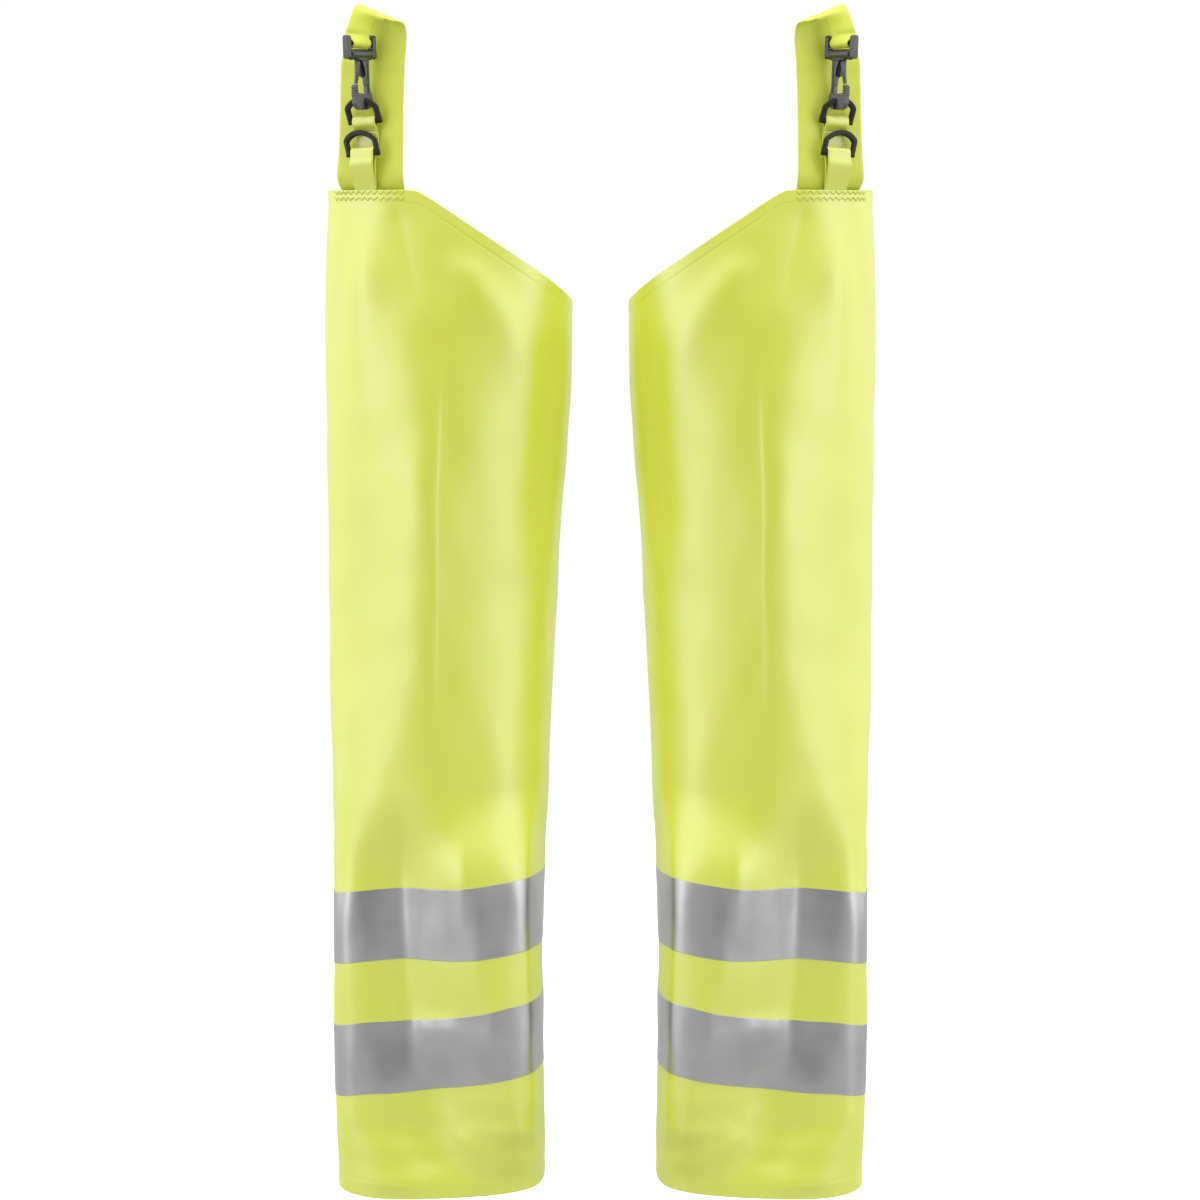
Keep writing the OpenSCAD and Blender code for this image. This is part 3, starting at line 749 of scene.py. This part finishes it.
def webbing_piece(side, name, bar, slot_name, behind, lean):
    """Cloth webbing folded over a D-ring's bar and sewn into the leg's top edge. It leans
    outwards by that many millimetres on its way down."""
    columns = 15
    path = loop_path(bar, behind > 0)
    share = np.linspace(-0.5, 0.5, columns)
    grid = np.empty((len(path), columns, 3))
    neck = np.clip((bar[2] - 4 - path[:, 1]) / 36, 0, 1)[:, None]
    grid[..., 0] = WEB_X + (0.8 - lean) * neck + (WEB_W - 1.2 + 2.5 * neck) * share
    grid[..., 1] = path[:, :1] - 0.35 * np.cos(2 * math.pi * share) * neck
    grid[..., 2] = path[:, 1:]
    points = tab_point(grid)
    ends = []
    for layer, end in ((0, 0), (1, -1)):
        place = webbing_place(points[end], lean * (1 - neck[end, 0]))
        inset = CLOTH_T + WEB_INSET + (WEB_T + WEB_GAP) * (layer + behind)
        rows = []
        for drop in (10, 3):
            height = top_edge(place) - drop
            rows.append(cloth_point(place, height) - cloth_normal(place, height) * inset)
        ends.append(rows)
    whole = smooth_path(np.concatenate([ends[0], points, ends[1][::-1]]), 4)
    uv = np.stack(np.broadcast_arrays(share[None] * WEB_W, lengths_along(whole)), -1)
    piece = make_sheet(f"{side}_{name}", side, whole, uv, WEB_T, fabric)
    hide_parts(f"{side}_{slot_name}")
    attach(piece, side + "_leg")
    return piece


def webbing_place(row, outward):
    """Where on the leg's top edge each point of a row comes down, moved outwards."""
    places = np.linspace(0.02, 0.3, 400)
    edge = cloth_point(places, np.full(400, -1.0))
    flat = leg_to_tab(edge)[:, 0]
    return np.interp(leg_to_tab(row)[:, 0] - outward, flat, places)


# ---- zig-zag stitching ----
STITCH_ROWS = (-2.5, -8.5)
STITCH_PITCH, STITCH_HIGH, THREAD_R = 3.0, 3.4, 0.3


def tube(points, radius, sides=6):
    """Vertices and faces of a round tube along a path, closed at its ends."""
    points = np.asarray(points, float)
    along = unit(np.gradient(points, axis=0))
    helper = np.array([0.3, -0.2, 1.0])
    a = unit(np.cross(along, helper))
    b = np.cross(along, a)
    angles = np.linspace(0, 2 * math.pi, sides, endpoint=False)
    ring = a[:, None] * np.cos(angles)[None, :, None] + b[:, None] * np.sin(angles)[None, :, None]
    verts = (points[:, None] + radius * ring).reshape(-1, 3)
    faces = []
    for i in range(len(points) - 1):
        for k in range(sides):
            n = (k + 1) % sides
            faces.append((i * sides + k, (i + 1) * sides + k, (i + 1) * sides + n, i * sides + n))
    faces.append(tuple(range(sides)))
    last = (len(points) - 1) * sides
    faces.append(tuple(last + k for k in reversed(range(sides))))
    return verts, faces


def joined(parts):
    """Several (vertices, faces) as one."""
    verts, faces, offset = [], [], 0
    for v, f in parts:
        verts.append(np.asarray(v, float))
        faces += [tuple(i + offset for i in face) for face in f]
        offset += len(v)
    return np.concatenate(verts), faces


def mirror(work):
    """Turns a right piece's mesh into the left one's."""
    bmesh.ops.scale(work, vec=(-1, 1, 1), verts=work.verts)
    bmesh.ops.reverse_faces(work, faces=work.faces)


def make_solid(name, side, verts, faces, material):
    """A piece from points in the leg frame. Faces are turned outwards."""
    mesh = bpy.data.meshes.new(name)
    mesh.from_pydata(to_part(verts, RIGHT).tolist(), [], faces)
    work = bmesh.new()
    work.from_mesh(mesh)
    bmesh.ops.recalc_face_normals(work, faces=work.faces)
    if side == LEFT:
        mirror(work)
    work.to_mesh(mesh)
    work.free()
    mesh.shade_smooth()
    mesh.materials.append(material)
    piece = bpy.data.objects.new(name, mesh)
    bpy.context.scene.collection.objects.link(piece)
    return piece


def zigzag_stitching(side):
    """Two rows of zig-zag stitches that hold the strap inside the leg's edge."""
    first, last = (float(place_of_turn(t)) for t in (FOOT_TURNS[0] - 1, FOOT_TURNS[1] + 1))
    count = int((last - first) * GIRTH / STITCH_PITCH)
    parts = []
    for row in STITCH_ROWS:
        places = np.linspace(first, last, count)
        zigzag = np.where(np.arange(count) % 2 == 0, 1, -1)
        heights = top_edge(places) + row + STITCH_HIGH / 2 * zigzag
        fine = np.linspace(0, count - 1, (count - 1) * 5 + 1)
        place = np.interp(fine, np.arange(count), places)
        height = np.interp(fine, np.arange(count), heights)
        dip = np.abs((fine % 1) - 0.5) * 2     # 1 where the needle goes through
        lift = 0.75 - 0.55 * dip**3
        path = cloth_point(place, height) + cloth_normal(place, height) * lift[:, None]
        parts.append(tube(path, THREAD_R))
    piece = make_solid(side + "_zigzag", side, *joined(parts), thread)
    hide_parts(side + "_strap_stitching")
    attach(piece, side + "_leg")
    return piece


# ---- moulded hardware ----
DEE_W, DEE_T, DEE_RIM, DEE_H, DEE_SHOULDER = 36, 4.6, 5.4, 20.5, 12.5
BAR_R = 2.5


def rounded_section(width, depth, corner, steps=3):
    """A rectangle with round corners, as points round it."""
    out = []
    for quarter, (sx, sy) in enumerate(((1, 1), (-1, 1), (-1, -1), (1, -1))):
        for k in range(steps + 1):
            a = math.pi / 2 * (quarter + k / steps)
            out.append((sx * (width / 2 - corner) + corner * math.cos(a),
                        sy * (depth / 2 - corner) + corner * math.sin(a)))
    return np.array(out)


def swept_flat(path, width, depth, corner):
    """A bar of rounded rectangular section along a path in the x-z plane; width lies in it."""
    path = np.asarray(path, float)
    along = unit(np.gradient(path, axis=0))
    out = np.stack([along[:, 1], -along[:, 0]], -1)
    section = rounded_section(width, depth, corner)
    sides = len(section)
    verts = []
    for (x, z), (ox, oz) in zip(path, out):
        verts += [(x + ox * u, v, z + oz * u) for u, v in section]
    faces = [(i * sides + k, i * sides + (k + 1) % sides,
              (i + 1) * sides + (k + 1) % sides, (i + 1) * sides + k)
             for i in range(len(path) - 1) for k in range(sides)]
    faces.append(tuple(range(sides))[::-1])
    faces.append(tuple((len(path) - 1) * sides + k for k in range(sides)))
    return np.array(verts), faces


def dee_path():
    """Middle line of the D-ring: leg, shoulder, arch, shoulder, leg."""
    half = (DEE_W - DEE_RIM) / 2
    rise = DEE_H - DEE_SHOULDER
    radius = (half * half + rise * rise) / (2 * rise)
    reach = math.asin(half / radius)
    arch = [(radius * math.sin(a), DEE_H - radius + radius * math.cos(a))
            for a in np.linspace(-reach * 0.97, reach * 0.97, 15)]
    left = [(-half, -BAR_R), (-half, 2), (-half, 6), (-half, DEE_SHOULDER - 1.5)]
    right = [(-x, z) for x, z in left[::-1]]
    return smooth_path(np.array(left + arch + right), 2)


def dee_piece(side, name, body, joint, lean, skew):
    """A moulded D-ring: a flat D with round edges, and a round bar between its legs. It leans
    back by so many degrees, and is skewed sideways by that share of its height."""
    verts, faces = swept_flat(dee_path(), DEE_RIM, DEE_T, 1.5)
    bar = tube([(x, 0, 0) for x in np.linspace(-DEE_W / 2 + 1.5, DEE_W / 2 - 1.5, 12)], BAR_R, 20)
    verts, faces = joined([(verts, faces), bar])
    verts[:, 0] -= skew * np.maximum(verts[:, 2], 0)
    turn = math.radians(lean)
    y = verts[:, 1] * math.cos(turn) - verts[:, 2] * math.sin(turn)
    z = verts[:, 1] * math.sin(turn) + verts[:, 2] * math.cos(turn)
    placed = np.stack([verts[:, 0], y, z], -1) + joint_place(joint)
    piece = make_solid(f"{side}_{name}", side, tab_point(placed), faces, ring_plastic)
    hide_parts(f"{side}_{body}_ring")
    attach(piece, f"{side}_{body}")
    return piece


VOXEL, SOFTENING = 0.00032, 4    # of the mouldings' remesh, in metres, and its smoothing steps


def moulded(name, side, node, extra, body, from_frame=True):
    """A plastic moulding: the frame's solid with added detail, its edges softened all over."""
    work = bmesh.new()
    if from_frame:
        work.from_mesh(frame["nodes"]["right_" + node].data)
    if extra:
        verts, faces = joined(extra)
        added = bpy.data.meshes.new(name + "_detail")
        added.from_pydata(to_part(tab_point(verts), RIGHT).tolist(), [], faces)
        work.from_mesh(added)
        bpy.data.meshes.remove(added)
    mesh = bpy.data.meshes.new(name)
    work.to_mesh(mesh)
    work.free()
    piece = bpy.data.objects.new(name, mesh)
    bpy.context.scene.collection.objects.link(piece)
    remesh = piece.modifiers.new("fuse", "REMESH")
    remesh.mode = "VOXEL"
    remesh.voxel_size = VOXEL
    soften = piece.modifiers.new("soften", "SMOOTH")
    soften.factor = 0.5
    soften.iterations = SOFTENING
    graph = bpy.context.evaluated_depsgraph_get()
    final = bpy.data.meshes.new_from_object(piece.evaluated_get(graph))
    piece.modifiers.clear()
    piece.data = final
    bpy.data.meshes.remove(mesh)
    if side == LEFT:
        work = bmesh.new()
        work.from_mesh(final)
        mirror(work)
        work.to_mesh(final)
        work.free()
    final.shade_smooth()
    final.materials.clear()
    final.materials.append(hook_plastic)
    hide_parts(f"{side}_{node}")
    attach(piece, f"{side}_{body}")
    return piece


def hook_place(x, y, out):
    """From the hook's own plane (across, up, and ahead of it) to the tab's frame."""
    return barrel + x * hook_across + y * hook_up + out * hook_ahead


def box_between(corner_a, corner_b):
    """A block in the hook's own axes, as vertices and faces."""
    (x0, y0, o0), (x1, y1, o1) = corner_a, corner_b
    verts = np.array([hook_place(x, y, o) for o in (o0, o1) for y in (y0, y1) for x in (x0, x1)])
    faces = [(0, 1, 3, 2), (4, 6, 7, 5), (0, 4, 5, 1), (2, 3, 7, 6), (0, 2, 6, 4), (1, 5, 7, 3)]
    return verts, faces


def rounded_bar(path, radius):
    """A round bar through points given in the hook's own axes."""
    return tube([hook_place(*p) for p in smooth_path(np.array(path, float), 4)], radius, 12)


HOOK_T = 6
RIB_HALF, RIB_PROUD = 0.55, 0.3  # the thumb ribs


def hook_details():
    """Detail on the hook: a spine down its front and back, a step under the barrel, thumb ribs."""
    parts = []
    for face in (-1, 1):
        out = face * (HOOK_T / 2 - 0.5)
        parts.append(rounded_bar([(6.6, -6, out), (6.8, -20, out), (7.0, -32, out), (7.6, -42, out),
                                  (4.5, -48.6, out), (-2, -49.6, out)], 1.3))
        parts.append(rounded_bar([(-4.2, -4, out), (1.6, -5, out), (8, -4, out)], 1.2))
    for y in (-31, -33.4, -35.8, -38.2):
        parts.append(box_between((-10.2, y - RIB_HALF, -HOOK_T / 2 - RIB_PROUD),
                                 (-7.5, y + RIB_HALF, HOOK_T / 2 + RIB_PROUD)))
    # the bowl's front cheek, which covers the D-ring's arch
    cheek = [(-9.6, -35), (-6, -36.5), (5.3, -37.5), (9.2, -36), (10.4, -42), (10.4, -47),
             (7.2, -51), (2.6, -52.2), (-4, -52.2), (-8, -50), (-9.6, -46)]
    parts.append(prism(cheek, HOOK_T / 2 - 0.1, HOOK_T / 2 + 1.3))
    # the rear wall of the gate's recess
    parts.append(prism([(-4.9, -4), (4.5, -4), (4.5, -22), (-5.2, -19)], -2.8, -0.9))
    for x in (-11.4, 11.4):
        parts.append(tube([hook_place(x - 0.7, 0, 0), hook_place(x + 0.7, 0, 0)], 5.5, 32))
    return parts


def prism(outline, back, front):
    """A plate in the hook's plane, as vertices and faces."""
    verts = [hook_place(x, y, out) for out in (back, front) for x, y in outline]
    n = len(outline)
    faces = [tuple(range(n)), tuple(reversed(range(n, 2 * n)))]
    faces += [(k, k + n, (k + 1) % n + n, (k + 1) % n) for k in range(n)]
    return np.array(verts), faces


def gate_parts():
    """The sprung tongue: it lies in front of the hook's rear wall, with a thumb pad at its tip."""
    blade = prism([(-5.2, -6.4), (-1.4, -6.9), (-5.9, -27.9), (-8.7, -27.5)], -0.2, 2.6)
    pad = rounded_bar([(-5.4, -16, 1.6), (-6.4, -20, 1.9), (-7.4, -25, 1.9)], 1.3)
    return [blade, pad]


def build_hardware(side):
    moulded(side + "_ring", side, "strap_ring", None, "ring")
    moulded(side + "_snap_hook", side, "hook_body", hook_details(), "hook")
    moulded(side + "_snap_gate", side, "hook_gate", gate_parts(), "gate", from_frame=False)
    dee_piece(side, "upper_dee", "upper_d", "right_upper_d_swing", lean=20.6, skew=0.12)
    dee_piece(side, "lower_dee", "lower_d", "right_lower_d_swing", lean=-1.5, skew=0.26)


# ---- build both sides ----


for side in (RIGHT, LEFT):
    cloth, on_cloth = build_leg(side)
    stitching = zigzag_stitching(side)
    strap = strap_piece(side)
    upper_web = webbing_piece(side, "upper_web", upper_bar, "upper_webbing", behind=2, lean=0)
    lower_web = webbing_piece(side, "lower_web", lower_bar, "lower_webbing", behind=0, lean=4)
    build_hardware(side)

# ---- camera, floor and light ----
CAMERA_BACK, CAMERA_UP = 2.314, -0.552
camera = bpy.data.objects.new("camera", bpy.data.cameras.new("camera"))
camera.data.sensor_width = 36
camera.data.lens = 72
camera.location = (-0.0005, -CAMERA_BACK, CAMERA_UP)
camera.rotation_euler = (math.radians(90), 0, 0)
bpy.context.scene.collection.objects.link(camera)
bpy.context.scene.camera = camera


def area_light(name, place, target, width, height, power):
    light = bpy.data.lights.new(name, "AREA")
    light.shape = "RECTANGLE"
    light.size, light.size_y = width, height
    light.energy = power
    lamp = bpy.data.objects.new(name, light)
    lamp.location = place
    lamp.rotation_mode = "QUATERNION"
    lamp.rotation_quaternion = (Vector(target) - Vector(place)).to_track_quat("-Z", "Y")
    bpy.context.scene.collection.objects.link(lamp)


LIGHT_TARGET = (0, 0.08, -0.6)
area_light("right_soft_box", (-2.2, -1.3, -0.5), LIGHT_TARGET, 0.8, 2.8, 8)
area_light("left_soft_box", (2.2, -1.3, -0.5), LIGHT_TARGET, 0.8, 2.8, 8)
area_light("top_soft_box", (0, -0.6, 2.0), LIGHT_TARGET, 2.2, 1.2, 12)

floor_mesh = bpy.data.meshes.new("floor")
FLOOR_Z, FLOOR_HALF = -1.32, 6
floor_corners = [(x * FLOOR_HALF, y * FLOOR_HALF, FLOOR_Z)
                 for x, y in ((-1, -1), (1, -1), (1, 1), (-1, 1))]
floor_mesh.from_pydata(floor_corners, [], [(0, 1, 2, 3)])
floor = bpy.data.objects.new("floor", floor_mesh)
bpy.context.scene.collection.objects.link(floor)
floor_material, floor_tree, floor_shader = new_material("pale_floor")
floor_shader.inputs["Base Color"].default_value = (0.4, 0.4, 0.4, 1)
floor_shader.inputs["Roughness"].default_value = 0.9
floor_shader.inputs["Specular IOR Level"].default_value = 0.1
floor_shader.inputs["Emission Color"].default_value = (1, 1, 1, 1)
floor_seen = add_node(floor_tree, "ShaderNodeLightPath").outputs["Is Camera Ray"]
floor_glow = add_node(floor_tree, "ShaderNodeMapRange",
                      {"Value": floor_seen, "To Min": 0.1, "To Max": 1.0})
floor_tree.links.new(floor_glow.outputs[0], floor_shader.inputs["Emission Strength"])
floor_mesh.materials.append(floor_material)

# The world is white to the eye. As a light it is dark in front and behind and bright all round,
# as between large diffusers, so that the cloth's gloss shows its folds.
world = bpy.data.worlds.new("studio")
world.use_nodes = True
bpy.context.scene.world = world
world_tree = world.node_tree
background = world_tree.nodes["Background"]
background.inputs["Color"].default_value = (1, 1, 1, 1)
direction = add_node(world_tree, "ShaderNodeTexCoord").outputs["Generated"]
backwards = add_node(world_tree, "ShaderNodeSeparateXYZ", {0: direction}).outputs["Y"]
share = add_node(world_tree, "ShaderNodeMapRange",
                 {"Value": backwards, "From Min": -1, "From Max": 1})
ramp = add_node(world_tree, "ShaderNodeValToRGB", {"Fac": share.outputs[0]})
WORLD_STOPS = [(0, 0.0), (0.19, 1.0), (0.75, 1.0), (1, 0.55)]  # from in front to behind
WORLD_LIGHT = 1.5
while len(ramp.color_ramp.elements) < len(WORLD_STOPS):
    ramp.color_ramp.elements.new(0.5)
for stop, (place, grey) in zip(ramp.color_ramp.elements, WORLD_STOPS):
    stop.position = place
    stop.color = (grey, grey, grey, 1)
glow = add_node(world_tree, "ShaderNodeMath", {0: ramp.outputs["Color"], 1: WORLD_LIGHT},
                operation="MULTIPLY").outputs[0]
seen = add_node(world_tree, "ShaderNodeLightPath").outputs["Is Camera Ray"]
strength = add_node(world_tree, "ShaderNodeMix", {"Factor": seen, "A": glow, "B": 1.0})
world_tree.links.new(strength.outputs[0], background.inputs["Strength"])
bpy.context.scene.view_settings.view_transform = "Standard"
